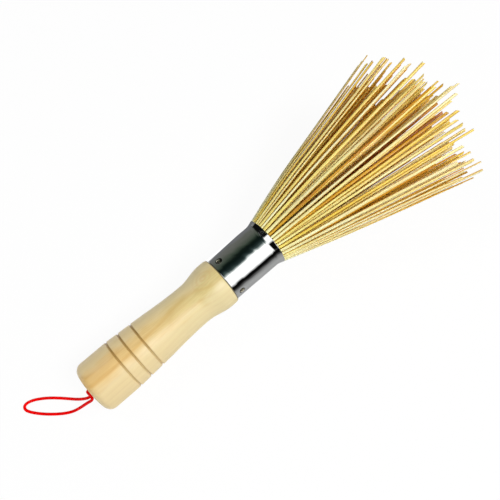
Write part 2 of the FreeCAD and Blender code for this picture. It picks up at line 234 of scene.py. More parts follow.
def handle_mesh():
    """The lathe outline carried round the axis: each point goes to its radius times the angle's sine sideways
    and its cosine upwards. The outline has cord hole, butt, grooves, waist, collar and tenon."""
    rows = [np.array([(HOLE_DEPTH, POLE_RADIUS), (HOLE_DEPTH, HOLE_RADIUS), (HOLE_CHAMFER, HOLE_RADIUS),
                      (0, HOLE_RADIUS + HOLE_CHAMFER)])]
    rows.append(bend((BUTT_ROUNDING, BUTT_RADIUS - BUTT_ROUNDING), BUTT_ROUNDING, 180, 90, steps=14))
    for groove in GROOVES:
        # One wave of a cosine is taken off the taper, which gives the groove a round bottom and eased edges.
        from_middle = np.linspace(-1.2, 1.2, 15) * GROOVE_HALF_WIDTH
        share = np.clip(np.abs(from_middle) / (1.1 * GROOVE_HALF_WIDTH), 0, 1)
        depth = GROOVE_DEPTH / 2 * (1 + np.cos(math.pi * share))
        x = groove + from_middle
        rows.append(np.stack([x, grip_radius(x) - depth], axis=-1))
    last = tuple(rows[-1][-1])
    slope = (GROOVED_END_RADIUS - BUTT_RADIUS) / (GROOVES[-1] - GROOVES[0])
    rows.append(hollow(last, slope, (WAIST, WAIST_RADIUS), 0, steps=26)[1:])
    rows.append(hollow((WAIST, WAIST_RADIUS), 0, (COLLAR, COLLAR_RADIUS), 0, steps=22)[1:])
    start = GRIP_LENGTH - SHOULDER_ROUNDING
    drop = COLLAR_RADIUS - SHOULDER_RADIUS
    radius = (SHOULDER_ROUNDING**2 + drop**2) / (2 * drop)
    turn = math.degrees(math.asin(SHOULDER_ROUNDING / radius))
    rows.append(bend((start, COLLAR_RADIUS - radius), radius, 90, 90 - turn, steps=6))
    end = GRIP_LENGTH + TENON_LENGTH
    rows.append(np.array([(GRIP_LENGTH, TENON_RADIUS), (end, TENON_RADIUS), (end, POLE_RADIUS)]))
    outline = np.concatenate(rows)
    turns = 160
    angle = around(turns)
    points = place(outline[:, :1], outline[:, 1:] * np.sin(angle), outline[:, 1:] * np.cos(angle))
    faces = tube_faces(len(outline), turns).tolist() + end_caps(0, len(outline), turns)
    return smooth_mesh("handle_turned", points, faces, math.radians(35))


def ferrule_outline():
    """The sheet's outside from the shoulder to the flared rim, and back inside: a closed loop of points."""
    flare_start = GRIP_LENGTH + FERRULE_LENGTH - FLARE_LENGTH
    centre = (flare_start, FERRULE_RADIUS + FLARE_BEND_RADIUS)
    degrees = math.degrees(FAN_ANGLE)
    outer_bend = bend(centre, FLARE_BEND_RADIUS, -90, -90 + degrees, steps=8)
    inner_bend = bend(centre, FLARE_BEND_RADIUS + SHEET, -90 + degrees, -90, steps=8)
    reach = (GRIP_LENGTH + FERRULE_LENGTH - inner_bend[0][0]) / math.cos(FAN_ANGLE)
    along = np.array([math.cos(FAN_ANGLE), math.sin(FAN_ANGLE)])
    across = np.array([-math.sin(FAN_ANGLE), math.cos(FAN_ANGLE)])
    inner_rim = inner_bend[0] + reach * along
    rim_middle = inner_rim + SHEET / 2 * across
    roll = np.radians(np.linspace(90, -90, 7))[:, None]
    rim = rim_middle + SHEET / 2 * (np.cos(roll) * along + np.sin(roll) * across)
    # The straight part's many rows carry the ripples and the dimples.
    chamfer = 0.15 * MM
    straight = np.linspace(GRIP_LENGTH + chamfer, flare_start, 110)
    outside = np.stack([straight, np.full_like(straight, FERRULE_RADIUS)], axis=-1)
    edge = np.array([(GRIP_LENGTH, FERRULE_RADIUS - chamfer)])
    back = np.linspace(flare_start, GRIP_LENGTH, 40)
    inside = np.stack([back, np.full_like(back, FERRULE_RADIUS - SHEET)], axis=-1)
    # One more point just before the rim keeps the rim's roundness out of the flare's shading.
    before_rim = rim[:1] - 0.15 * MM * along
    return np.concatenate([edge, outside, outer_bend[1:], before_rim, rim, inner_bend, inside[1:]])


def ripples(x, angle):
    """Hand-worked sheet isn't quite round: a few slow waves, as sums of sines along and round the sleeve.
    Each has its height in mm, its radians a metre along, its waves round the sleeve and its shift."""
    waves = [(0.030, 210, 2, 0.4), (0.022, 330, 3, 2.1), (0.014, 560, 5, 4.0), (0.008, 900, 8, 1.1)]
    return sum(size * MM * np.sin(rate * x + turns * angle + shift) for size, rate, turns, shift in waves)


def ferrule_mesh():
    """The outline carried round the axis, pushed in by a ball at each nail: the ball's radius less the root
    of its square less the square of the distance from the nail. A ring of painted shade lies round each head:
    e to minus the square of the distance from the ring, in its width."""
    outline = ferrule_outline()
    turns = 300
    angle = around(turns)[None, :]
    x, radius = outline[:, :1], outline[:, 1:]
    ripple_fade = 4 * MM
    from_shoulder = np.clip((x - GRIP_LENGTH) / ripple_fade, 0, 1)
    from_rim = np.clip((GRIP_LENGTH + FERRULE_LENGTH - x) / ripple_fade, 0, 1)
    dent = ripples(x, angle) * (from_shoulder * from_rim)
    nail_ring_shade = np.zeros_like(dent)
    edge_softness = 0.06 * MM
    shade_ring_radius, shade_ring_width = NAIL_HEAD_RADIUS + 0.1 * MM, 0.42 * MM
    for nail in NAIL_ANGLES:
        apart = (angle - nail + math.pi) % (2 * math.pi) - math.pi
        distance = np.sqrt((x - NAIL_PLACE) ** 2 + (apart * FERRULE_RADIUS) ** 2)
        ball = DIMPLE_DEPTH - (DIMPLE_BALL - np.sqrt(np.clip(DIMPLE_BALL**2 - distance**2, 0, None)))
        # The press rounds the dimple's edge: a soft maximum of the ball's depth and nothing.
        dent = dent + edge_softness * np.logaddexp(0, ball / edge_softness)
        # Painted shade: a dark ring round each nail's head, where the head sits in its dimple.
        nail_ring_shade = nail_ring_shade + np.exp(-((distance - shade_ring_radius) / shade_ring_width) ** 2)
    radius = radius - dent
    points = place(x, radius * np.sin(angle), radius * np.cos(angle))
    faces = tube_faces(len(outline), turns, closed=True).tolist()
    mesh = smooth_mesh("ferrule_polished", points, faces, math.radians(60))
    corner_values(mesh, "nail_ring_shade", nail_ring_shade)
    return mesh


def nails_mesh():
    """Four round heads: caps of a ball, each carried round its own nail's axis and closed below. A cap's height
    over the ball's centre is the root of the ball's radius squared less the distance from the axis squared."""
    ball = (NAIL_HEAD_RADIUS**2 + NAIL_HEAD_CROWN**2) / (2 * NAIL_HEAD_CROWN)
    turns = 28
    out = np.linspace(0.02, 1, 9) * NAIL_HEAD_RADIUS
    height = NAIL_HEAD_CROWN - ball + np.sqrt(ball**2 - out**2)
    # Below its edge the head goes down into the dimple, a little narrower, and back in to a small flat.
    out = np.append(out, [NAIL_HEAD_RADIUS * 0.98, 0.3 * MM])
    height = np.append(height, [-DIMPLE_DEPTH, -DIMPLE_DEPTH])
    sunk = 0.06 * MM
    rise = FERRULE_RADIUS - sunk + height[:, None]
    angle = around(turns)
    points, faces = [], []
    for nail in NAIL_ANGLES:
        spread_along = out[:, None] * np.cos(angle)
        spread_round = out[:, None] * np.sin(angle)
        sideways = rise * math.sin(nail) + spread_round * math.cos(nail)
        upwards = rise * math.cos(nail) - spread_round * math.sin(nail)
        first = len(points) * len(out) * turns
        points.append(place(NAIL_PLACE + spread_along, sideways, upwards))
        faces += (tube_faces(len(out), turns) + first).tolist() + end_caps(first, len(out), turns)
    return smooth_mesh("ferrule_nails_polished", np.array(points), faces, math.radians(50))


# Bamboo splints.

def course_stations(name):
    """The splints of one CAD course. Each has five four-cornered sections across the brush: their centres,
    half widths and half thicknesses, the direction straight out from the axis, and the one across that."""
    corners, triangles = node_mesh(name)
    # Corners joined by triangles take the lowest number among them, over and over, until each splint has
    # one number.
    splint = np.arange(len(corners))
    for _ in range(12):
        lowest = splint[triangles].min(axis=1)
        np.minimum.at(splint, triangles.ravel(), np.repeat(lowest, 3))
        splint = splint[splint]
    along = (corners - BUTT) @ AXIS
    order = np.lexsort((along, splint))
    sections = corners[order].reshape(-1, STATIONS, 4, 3)
    centres = sections.mean(axis=2)
    foot = centres[:, 0] - BUTT
    out = foot - (foot @ AXIS)[:, None] * AXIS
    out /= np.linalg.norm(out, axis=1)[:, None]
    side = np.cross(out, AXIS)
    from_centre = sections - centres[:, :, None]
    half_width = np.abs(np.einsum("nskc,nc->nsk", from_centre, side)).max(axis=2)
    half_thickness = np.abs(np.einsum("nskc,nc->nsk", from_centre, out)).max(axis=2)
    return centres, half_width, half_thickness, out, side


def flowing(rows):
    """Weights of a quadratic B-spline over a splint's last four stations, ends held: at each of the rows it
    mixes the stations so that the splint bends in a flowing line."""
    knots = np.array([0, 0, 0, 1, 2, 2, 2.0])
    t = np.linspace(0, 2, rows)
    level = [((t >= a) & (t < b)).astype(float) for a, b in zip(knots, knots[1:])]
    # The last row belongs to the last span.
    level[3][-1] = 1.0
    for degree in (1, 2):
        raised = []
        for i in range(len(level) - 1):
            rise, fall = knots[i + degree] - knots[i], knots[i + degree + 1] - knots[i + 1]
            up = (t - knots[i]) / rise * level[i] if rise else 0 * t
            down = (knots[i + degree + 1] - t) / fall * level[i + 1] if fall else 0 * t
            raised.append(up + down)
        level = raised
    return np.stack(level, axis=-1)


def carried(weights, stations):
    """Values at a splint's stations as values at its rows: the first as it is, then mixes of the others."""
    mixes = np.einsum("rs,ns...->nr...", weights, stations[:, 1:])
    return np.concatenate([stations[:, :1], mixes], axis=1)


def splints_mesh(name, paleness):
    """A course of splints: a rounded strip section, carried along each splint's line, turned a little about
    it and cut off at a slant. A corner is the line's point plus the section's share of the half width across
    and of the half thickness outwards. Paleness is the middle of the course's shades, from 0 to 1."""
    centres, half_width, half_thickness, out, side = course_stations(name)
    weights = flowing(9)
    line, wide, thick = [carried(weights, values) for values in (centres, half_width, half_thickness)]
    count, rows = wide.shape
    # The section's corners, in half widths and half thicknesses, and how much of the skin each one has.
    section = np.array([(-1, -0.55), (-0.8, -1), (0.8, -1), (1, -0.55),
                        (1, 0.2), (0.55, 1), (-0.55, 1), (-1, 0.2)])
    skin = np.array([0, 0, 0, 0, 0.35, 1, 1, 0.35])
    twist = chance.normal(0, SPLINT_TWIST, (count, 1)) * np.linspace(0, 1, rows)
    turn, lift = np.cos(twist)[..., None], np.sin(twist)[..., None]
    across = turn * side[:, None] + lift * out[:, None]
    outward = turn * out[:, None] - lift * side[:, None]
    points = (line[:, :, None]
              + section[:, 0][:, None] * (wide[..., None] * across)[:, :, None]
              + section[:, 1][:, None] * (thick[..., None] * outward)[:, :, None])
    # The cutter's slant only takes away, so the longest corner stays where the CAD model has it.
    slant = chance.uniform(-1, 1, (count, 1)) * SPLINT_SLANT
    points[:, -1] += (slant * section[:, 0] - np.abs(slant))[..., None] * AXIS
    points = np.clip(points, *cad_box)
    sides = len(section)
    first = np.arange(count)[:, None, None] * rows * sides
    faces = (tube_faces(rows, sides) + first).reshape(-1, 4).tolist()
    ring = np.arange(sides)
    faces += (first[:, :, 0] + ring[::-1]).tolist()
    faces += (first[:, :, 0] + (rows - 1) * sides + ring).tolist()
    mesh = smooth_mesh(name + "_split", points, faces, math.radians(50))
    tone = np.clip(chance.normal(paleness, TONE_SPREAD, count), 0, 1)
    lot = chance.uniform(0, 1, count)
    corner_values(mesh, "tone", np.repeat(tone, rows * sides))
    corner_values(mesh, "lot", np.repeat(lot, rows * sides))
    corner_values(mesh, "skin", np.tile(skin, count * rows))
    # The strip's own map, in metres: across its section and along its length.
    run = np.linalg.norm(np.diff(line, axis=1), axis=2)
    run = np.concatenate([np.zeros((count, 1)), np.cumsum(run, axis=1)], axis=1)
    edges = np.linalg.norm(np.diff(section, axis=0, append=section[:1]), axis=1)
    girth = np.cumsum(edges) * STRIP_HALF_WIDTH
    flat = np.stack(np.broadcast_arrays(girth, run[..., None]), axis=-1).reshape(-1, 2)
    loops = np.empty(len(mesh.loops), dtype=int)
    mesh.loops.foreach_get("vertex_index", loops)
    strip_map = mesh.uv_layers.new(name="strip")
    strip_map.data.foreach_set("uv", flat[loops].ravel().astype(np.float32))
    return mesh


# Materials.

# A wave texture of scale 1 comes round every 0.314 m.
WAVE_STEP = 0.314


def add(tree, kind, inputs=None, stops=(), **settings):
    """Adds a node. Settings are its own; inputs give a socket a value, or the node or output that feeds it;
    stops are a colour ramp's places and colours."""
    node = tree.nodes.new(kind)
    for name, value in settings.items():
        setattr(node, name, value)
    while stops and len(node.color_ramp.elements) < len(stops):
        node.color_ramp.elements.new(0.5)
    for element, (at, colour) in zip(node.color_ramp.elements if stops else (), stops):
        element.position, element.color = at, srgb(colour)
    for socket, value in (inputs or {}).items():
        if isinstance(value, bpy.types.Node):
            value = value.outputs[0]
        if isinstance(value, bpy.types.NodeSocket):
            tree.links.new(value, node.inputs[socket])
        else:
            node.inputs[socket].default_value = value
    return node


def bare_material(name):
    """A material with an empty tree, and the tree."""
    material = bpy.data.materials.new(name)
    material.use_nodes = True
    material.node_tree.nodes.clear()
    return material, material.node_tree


def new_material(name, **shader):
    """A material with a Principled shader, and its tree; the shader's plain values are set by socket name."""
    material, tree = bare_material(name)
    values = {key.replace("_", " "): value for key, value in shader.items()}
    principled = add(tree, "ShaderNodeBsdfPrincipled", values)
    add(tree, "ShaderNodeOutputMaterial", {"Surface": principled})
    return material, tree, principled


def brush_space(tree):
    """Object coordinates turned to the brush's own: along it, towards +Y, and away from the floor."""
    spot = add(tree, "ShaderNodeTexCoord").outputs["Object"]
    return add(tree, "ShaderNodeMapping", {"Vector": spot, "Location": BUTT, "Rotation": (0, -TILT, 0)},
               vector_type="TEXTURE")


def pine_grain(tree, space, along, fibres):
    """The pine's own colour: growth rings about 3 mm apart round a heart that lies beside the grip, drawn out
    along the grain, with finely streaked fibres, and warmer towards the butt."""
    # The heart lies 19 mm towards -Y from the grip's axis and 34 mm below it.
    drawn = add(tree, "ShaderNodeMapping", {"Vector": space, "Location": (2 * MM, 19 * MM, 34 * MM),
                                            "Scale": (0.10, 1, 1)})
    rings = add(tree, "ShaderNodeTexWave",
                {"Vector": drawn, "Scale": WAVE_STEP / (3.1 * MM), "Distortion": 5.0, "Detail": 2.0,
                 "Detail Scale": 0.35}, wave_type="RINGS", rings_direction="X")
    wood = add(tree, "ShaderNodeValToRGB", {"Fac": rings.outputs["Fac"]},
               stops=((0.0, "#f0deb0"), (0.6, "#eedbac"), (0.9, "#ebd4a0"), (1.0, "#e8d09a")))
    fibre_shade = add(tree, "ShaderNodeValToRGB", {"Fac": fibres.outputs["Fac"]},
                      stops=((0.32, "#e2d5bb"), (0.62, "#ffffff")))
    streaked = add(tree, "ShaderNodeMix", {"Factor": 0.35, 6: wood, 7: fibre_shade.outputs[0]},
                   data_type="RGBA", blend_type="MULTIPLY")
    reach = add(tree, "ShaderNodeMath", {0: along, 1: GRIP_LENGTH}, operation="DIVIDE")
    warmth = add(tree, "ShaderNodeValToRGB", {"Fac": reach},
                 stops=((0.0, "#f8e2b8"), (0.2, "#fbe6be"), (0.5, "#f9eccd"), (0.85, "#eeedcf")))
    warmed = add(tree, "ShaderNodeMix", {"Factor": 1.0, 6: streaked.outputs[2], 7: warmth.outputs[0]},
                 data_type="RGBA", blend_type="MULTIPLY")
    return warmed.outputs[2]


def pine_heartwood(tree, space, sideways, wood):
    """Warm clouds about 15 mm long. The heartwood shows as a golden strip along the top, its edges uneven,
    with paler sapwood beside it, which is partly a painted highlight: the pale sheen of the lit side."""
    cloud_space = add(tree, "ShaderNodeMapping", {"Vector": space, "Scale": (0.4, 1, 1)})
    clouds = add(tree, "ShaderNodeTexNoise", {"Vector": cloud_space, "Scale": 1 / (7 * MM), "Detail": 2.0})
    cloud = add(tree, "ShaderNodeMapRange",
                {"Value": clouds.outputs["Fac"], "From Min": 0.5, "From Max": 0.75, "To Max": 0.27})
    clouded = add(tree, "ShaderNodeMix", {"Factor": cloud, 6: wood, 7: srgb("#e6bd7c")}, data_type="RGBA")
    edge = add(tree, "ShaderNodeMath", {0: clouds.outputs["Fac"], 1: 9 * MM, 2: sideways},
               operation="MULTIPLY_ADD")
    edge = add(tree, "ShaderNodeMath", {0: edge, 1: 3 * MM}, operation="SUBTRACT")
    edge = add(tree, "ShaderNodeMath", {0: edge}, operation="ABSOLUTE")
    # Partly painted highlight: the pale band beside the strip stands for sapwood and also for the lit side's
    # sheen.
    sapwood_and_sheen = add(tree, "ShaderNodeMapRange",
              {"Value": edge, "From Min": 2.5 * MM, "From Max": 8.0 * MM, "To Max": 0.65})
    return add(tree, "ShaderNodeMix", {"Factor": sapwood_and_sheen, 6: clouded.outputs[2], 7: srgb("#f0e0b2")},
               data_type="RGBA").outputs[2]


def pine_knot(tree, space, wood):
    """A knot near the shoulder: faint rings about 2.4 mm apart that fade out 8 mm from its heart."""
    heart = (91 * MM, 2.6 * MM, 15 * MM)
    knot_space = add(tree, "ShaderNodeMapping", {"Vector": space, "Location": heart, "Scale": (1.4, 1, 1)},
                     vector_type="TEXTURE")
    reach = add(tree, "ShaderNodeVectorMath", {0: knot_space}, operation="LENGTH").outputs["Value"]
    fade = add(tree, "ShaderNodeMapRange",
               {"Value": reach, "From Min": 8 * MM, "From Max": 1 * MM, "To Max": 0.32})
    rings = add(tree, "ShaderNodeTexWave",
                {"Vector": knot_space, "Scale": WAVE_STEP / (2.4 * MM), "Distortion": 5.0,
                 "Detail Scale": 0.6}, wave_type="RINGS", rings_direction="SPHERICAL")
    knot = add(tree, "ShaderNodeMath", {0: fade, 1: rings.outputs["Fac"]}, operation="MULTIPLY")
    return add(tree, "ShaderNodeMix", {"Factor": knot, 6: wood, 7: srgb("#d9b070")},
               data_type="RGBA").outputs[2]


def burnt_lines(tree, along, sideways, wood):
    """The grooves' burnt brown, made stronger towards +Y by painted shade, and a dark line of painted shade
    where the shoulder meets the ferrule."""
    distances = []
    for groove in GROOVES:
        away = add(tree, "ShaderNodeMath", {0: along, 1: groove}, operation="SUBTRACT")
        distances.append(add(tree, "ShaderNodeMath", {0: away}, operation="ABSOLUTE"))
    nearest = distances[0]
    for away in distances[1:]:
        nearest = add(tree, "ShaderNodeMath", {0: nearest, 1: away}, operation="MINIMUM")
    burn = add(tree, "ShaderNodeMapRange", {"Value": nearest, "From Min": 0.9 * MM, "From Max": 0.5 * MM})
    # Painted shade: the burn is fainter towards -Y, the lit side, and stronger towards the shaded +Y side.
    fade = add(tree, "ShaderNodeMapRange",
               {"Value": sideways, "From Min": -BUTT_RADIUS, "From Max": 0.2 * BUTT_RADIUS,
                "To Min": 0.35, "To Max": 0.8})
    burn = add(tree, "ShaderNodeMath", {0: burn, 1: fade}, operation="MULTIPLY")
    burnt = add(tree, "ShaderNodeMix", {"Factor": burn, 6: wood, 7: srgb("#a17a3a")}, data_type="RGBA")
    # Painted shade: a dark line on the wood just before the shoulder, where it meets the ferrule.
    joint_shade = add(tree, "ShaderNodeMapRange", {"Value": along, "From Min": GRIP_LENGTH - 0.6 * MM,
                                            "From Max": GRIP_LENGTH - 0.35 * MM, "To Max": 0.85})
    return add(tree, "ShaderNodeMix", {"Factor": joint_shade, 6: burnt.outputs[2], 7: srgb("#3a301f")},
               data_type="RGBA").outputs[2]


def turned_pine():
    """Pine turned on a lathe and sanded. Pale earlywood and thin honey latewood lines run along the grip, the
    butt is more golden, and a hot wire has burnt the grooves brown."""
    material, tree, shader = new_material("turned_pine_sanded", Roughness=0.42, Specular_IOR_Level=0.45)
    space = brush_space(tree)
    parts = add(tree, "ShaderNodeSeparateXYZ", {0: space})
    along, sideways = parts.outputs[0], parts.outputs[1]
    # Fibres about 0.4 mm across, many times longer than wide.
    fibre_space = add(tree, "ShaderNodeMapping", {"Vector": space, "Scale": (0.035, 1, 1)})
    fibres = add(tree, "ShaderNodeTexNoise", {"Vector": fibre_space, "Scale": 1 / (0.8 * MM), "Detail": 4.0})
    wood = pine_grain(tree, space, along, fibres)
    wood = pine_heartwood(tree, space, sideways, wood)
    wood = pine_knot(tree, space, wood)
    wood = burnt_lines(tree, along, sideways, wood)
    tree.links.new(wood, shader.inputs["Base Color"])
    grain = add(tree, "ShaderNodeBump",
                {"Height": fibres.outputs["Fac"], "Strength": 0.08, "Distance": 0.1 * MM})
    tree.links.new(grain.outputs[0], shader.inputs["Normal"])
    return material


def polished_steel(name, roughness, dull, bright):
    """Stainless steel, drawn and buffed: a clear mirror with a faint haze from buffing, and a ring of painted
    shade round the nails' heads."""
    material, tree, shader = new_material(name, Metallic=1.0, Roughness=roughness)
    space = brush_space(tree)
    haze = add(tree, "ShaderNodeTexNoise", {"Vector": space, "Scale": 1 / (6 * MM), "Detail": 2.0})
    tint = add(tree, "ShaderNodeValToRGB", {"Fac": haze.outputs["Fac"]}, stops=((0.3, dull), (0.7, bright)))
    # Painted shade: the steel's colour darkens in a ring round each nail's head.
    nail_ring_shade = add(tree, "ShaderNodeAttribute", attribute_name="nail_ring_shade").outputs["Fac"]
    nail_ring_shade = add(tree, "ShaderNodeMath", {0: nail_ring_shade, 1: 0.95}, operation="MULTIPLY")
    ring_shaded = add(tree, "ShaderNodeMix", {"Factor": nail_ring_shade, 6: tint, 7: srgb("#1d1b14")}, data_type="RGBA")
    tree.links.new(ring_shaded.outputs[2], shader.inputs["Base Color"])
    return material


def split_bamboo():
    """Split bamboo, dried: each splint has its own shade between straw and brown, fine dark fibres along it,
    the slight gloss of its outer skin, and a warmer colour towards its free end."""
    material, tree, shader = new_material("split_bamboo_dried", Roughness=0.28)
    tone = add(tree, "ShaderNodeAttribute", attribute_name="tone").outputs["Fac"]
    lot = add(tree, "ShaderNodeAttribute", attribute_name="lot").outputs["Fac"]
    # A splint's lot gives it its own part of the patterns.
    strip = add(tree, "ShaderNodeUVMap", uv_map="strip")
    shift =add(tree, "ShaderNodeCombineXYZ", {0: 0.0, 1: 0.0, 2: lot})
    moved = add(tree, "ShaderNodeVectorMath", {0: strip, 1: shift}, operation="ADD")
    # Fibre bundles about 0.7 mm apart, running along the strip.
    fibre_space = add(tree, "ShaderNodeMapping",
                      {"Vector": moved, "Scale": (1 / (0.7 * MM), 1 / (30 * MM), 40)})
    fibres = add(tree, "ShaderNodeTexNoise", {"Vector": fibre_space, "Scale": 1.0, "Detail": 1.0})
    # Slow changes of shade along a splint, a few centimetres long.
    slow_space = add(tree, "ShaderNodeMapping", {"Vector": moved, "Scale": (1 / (3 * MM), 1 / (45 * MM), 60)})
    slow = add(tree, "ShaderNodeTexNoise", {"Vector": slow_space, "Scale": 1.0, "Detail": 1.0})
    mixed = add(tree, "ShaderNodeMath", {0: slow.outputs["Fac"], 1: 0.5, 2: tone}, operation="MULTIPLY_ADD")
    mixed = add(tree, "ShaderNodeMath", {0: mixed, 1: -0.25}, operation="ADD")
    shade = add(tree, "ShaderNodeValToRGB", {"Fac": mixed},
                stops=((0.0, "#c27e10"), (0.25, "#eab92e"), (0.5, "#fbe165"), (0.75, "#fff4a0"),
                       (1.0, "#fffdd4")))
    fibre_shade = add(tree, "ShaderNodeValToRGB", {"Fac": fibres.outputs["Fac"]},
                      stops=((0.35, "#d8b264"), (0.6, "#ffffff")))
    streaked = add(tree, "ShaderNodeMix", {"Factor": 0.35, 6: shade, 7: fibre_shade.outputs[0]},
                   data_type="RGBA", blend_type="MULTIPLY")
    # The bamboo kept a hint of green where the ferrule shades it, and the free ends have dried warmer.
    along = add(tree, "ShaderNodeSeparateXYZ", {0: brush_space(tree)}).outputs[0]
    free = add(tree, "ShaderNodeMapRange", {"Value": along, "From Min": GRIP_LENGTH + FERRULE_LENGTH,
                                            "From Max": GRIP_LENGTH + FERRULE_LENGTH + 90 * MM})
    drying = add(tree, "ShaderNodeValToRGB", {"Fac": free}, stops=((0.0, "#fafff6"), (1.0, "#fff8e4")))
    streaked = add(tree, "ShaderNodeMix", {"Factor": 1.0, 6: streaked.outputs[2], 7: drying},
                   data_type="RGBA", blend_type="MULTIPLY")
    # The skin is pale and glossy; the split edges and the inside show browner, duller flesh.
    skin = add(tree, "ShaderNodeAttribute", attribute_name="skin").outputs["Fac"]
    flesh = add(tree, "ShaderNodeMix", {"Factor": 1.0, 6: streaked.outputs[2], 7: srgb("#dcb04a")},
                data_type="RGBA", blend_type="MULTIPLY")
    finish = add(tree, "ShaderNodeMix", {"Factor": skin, 6: flesh.outputs[2], 7: streaked.outputs[2]},
                 data_type="RGBA")
    tree.links.new(finish.outputs[2], shader.inputs["Base Color"])
    gloss = add(tree, "ShaderNodeMapRange", {"Value": skin, "To Min": 0.03, "To Max": 0.5})
    tree.links.new(gloss.outputs[0], shader.inputs["Specular IOR Level"])
    grain = add(tree, "ShaderNodeBump",
                {"Height": fibres.outputs["Fac"], "Strength": 0.1, "Distance": 0.05 * MM})
    tree.links.new(grain.outputs[0], shader.inputs["Normal"])
    return material


def wedge_wood():
    """A rough-sawn softwood plug, dull and a little darker than the grip."""
    material, tree, shader = new_material("sawn_pine_wedge", Roughness=0.7)
    space = brush_space(tree)
    fibre_space = add(tree, "ShaderNodeMapping", {"Vector": space, "Scale": (0.05, 1, 1)})
    fibres = add(tree, "ShaderNodeTexNoise", {"Vector": fibre_space, "Scale": 1 / (0.6 * MM), "Detail": 3.0})
    shade = add(tree, "ShaderNodeValToRGB", {"Fac": fibres.outputs["Fac"]},
                stops=((0.3, "#b98f52"), (0.7, "#d8b67c")))
    tree.links.new(shade.outputs[0], shader.inputs["Base Color"])
    return material


def red_cord():
    """Round PVC-covered cord, extruded: an even, strong red with next to no gloss."""
    material, tree, shader = new_material("extruded_red_cord", Roughness=0.5, Specular_IOR_Level=0.05)
    space = add(tree, "ShaderNodeTexCoord").outputs["Object"]
    uneven = add(tree, "ShaderNodeTexNoise", {"Vector": space, "Scale": 1 / (6 * MM), "Detail": 2.0})
    shade = add(tree, "ShaderNodeValToRGB", {"Fac": uneven.outputs["Fac"]},
                stops=((0.3, "#ea0000"), (0.7, "#ff0000")))
    tree.links.new(shade.outputs[0], shader.inputs["Base Color"])
    return material


# The hanging cord.

def in_hole(depth, across):
    """A point in the cord hole: across moves it from the hole's lower -Y side to its upper +Y side."""
    aside = across / math.sqrt(2)
    return place(depth, aside, aside)


def cord_points():
    """The route's points. The free ones are given in millimetres from the hole along X, towards +Y, and up
    from the floor."""
    lying = 0.9
    free = [
        (-2.7, -1.7, 13.9), (-5.4, 0.7, 10.0), (-9.2, 5.6, 4.2), (-12.8, 10.2, 1.4), (-17.2, 14.8, lying),
        (-22.6, 19.5, lying), (-28.0, 23.0, lying), (-31.6, 24.5, lying), (-34.6, 24.8, lying),
        (-36.2, 23.7, lying), (-36.5, 21.7, lying), (-35.5, 19.6, lying), (-33.6, 17.0, lying),
        (-30.3, 13.3, lying), (-25.6, 9.0, lying), (-20.6, 5.2, lying), (-16.2, 2.4, 1.8), (-12.4, 0.4, 4.6),
        (-8.8, -1.4, 8.6), (-5.6, -3.2, 13.0), (-3.3, -4.9, 16.3), (-2.0, -4.9, 18.8), (-2.0, -2.9, 20.3),
        (-2.3, -0.6, 19.9), (-1.7, 0.7, 18.0),
    ]
    side, bowed_side = 1.15 * MM, 1.173 * MM
    entry, deep = 0.8 * MM, 8.4 * MM
    halfway = (entry + deep) / 2
    mouth = np.array([BUTT[0], BUTT[1], 0])
    start = [in_hole(deep, -side), in_hole(halfway, -bowed_side), in_hole(entry, -side)]
    end = [in_hole(entry, side), in_hole(halfway, bowed_side), in_hole(deep, side)]
    return np.vstack([start, mouth + np.array(free) * MM, end])


def hanging_cord(material):
    """One smooth line through the route: a quadratic spline with the route's points as its control points."""
    curve = bpy.data.curves.new("hanging_cord_red", "CURVE")
    curve.dimensions = "3D"
    curve.resolution_u = 10
    curve.bevel_depth = CORD_DIAMETER / 2
    curve.bevel_resolution = 6
    curve.use_fill_caps = True
    points = cord_points()
    spline = curve.splines.new("NURBS")
    spline.points.add(len(points) - 1)
    spline.points.foreach_set("co", np.hstack([points, np.ones((len(points), 1))]).ravel())
    spline.order_u = 3
    spline.use_endpoint_u = True
    piece = finished("hanging_cord_red", curve, material, "cord", "hanging_cord")
    tuple(place(0.0, -0.8 * MM, -0.8 * MM))


# Camera, light and floor.

FOCAL_PIXELS, IMAGE_PIXELS = 680, 500
HEADING = math.radians(40.72)
LOOKING_DOWN = math.radians(62.34)
CAMERA_DISTANCE = 0.420
AIM_ALONG = 126 * MM
AIM_RIGHT, AIM_DOWN = 3.105, 3.66

FLOOR_REACH = 3.0
FLOOR_OWN_WHITE = 0.94
ROOM_LIGHT = 0.24

TENT_RADIUS, TENT_HALF_LENGTH = 0.34, 0.75
TENT_ALONG = 119 * MM
TENT_HALF_GAP = 0.020
TENT_FOOT = 1.0 * MM
CARD_STRENGTH = 1.25


def camera():
    """The camera looks down on the brush from the butt's side; the aimed-at point of the axis lies a few
    pixels right of the picture's centre and below it."""
    right = np.array([math.cos(HEADING), -math.sin(HEADING), 0])
    level = np.array([math.sin(HEADING), math.cos(HEADING), 0])
    ahead = math.cos(LOOKING_DOWN) * level - math.sin(LOOKING_DOWN) * np.array([0, 0, 1])
    up = np.cross(right, ahead)
    pixel = CAMERA_DISTANCE / FOCAL_PIXELS
    aim = place(AIM_ALONG, 0.0, 0.0) - right * AIM_RIGHT * pixel + up * AIM_DOWN * pixel
    data = bpy.data.cameras.new("camera")
    data.sensor_width = 36
    data.lens = data.sensor_width * FOCAL_PIXELS / IMAGE_PIXELS
    data.clip_start, data.clip_end = 0.01, 20
    piece = in_scene("camera", data)
    turn = Matrix(np.stack([right, up, -ahead], axis=-1).tolist()).to_4x4()
    piece.matrix_world = Matrix.Translation(aim - ahead * CAMERA_DISTANCE) @ turn
    bpy.context.scene.camera = piece


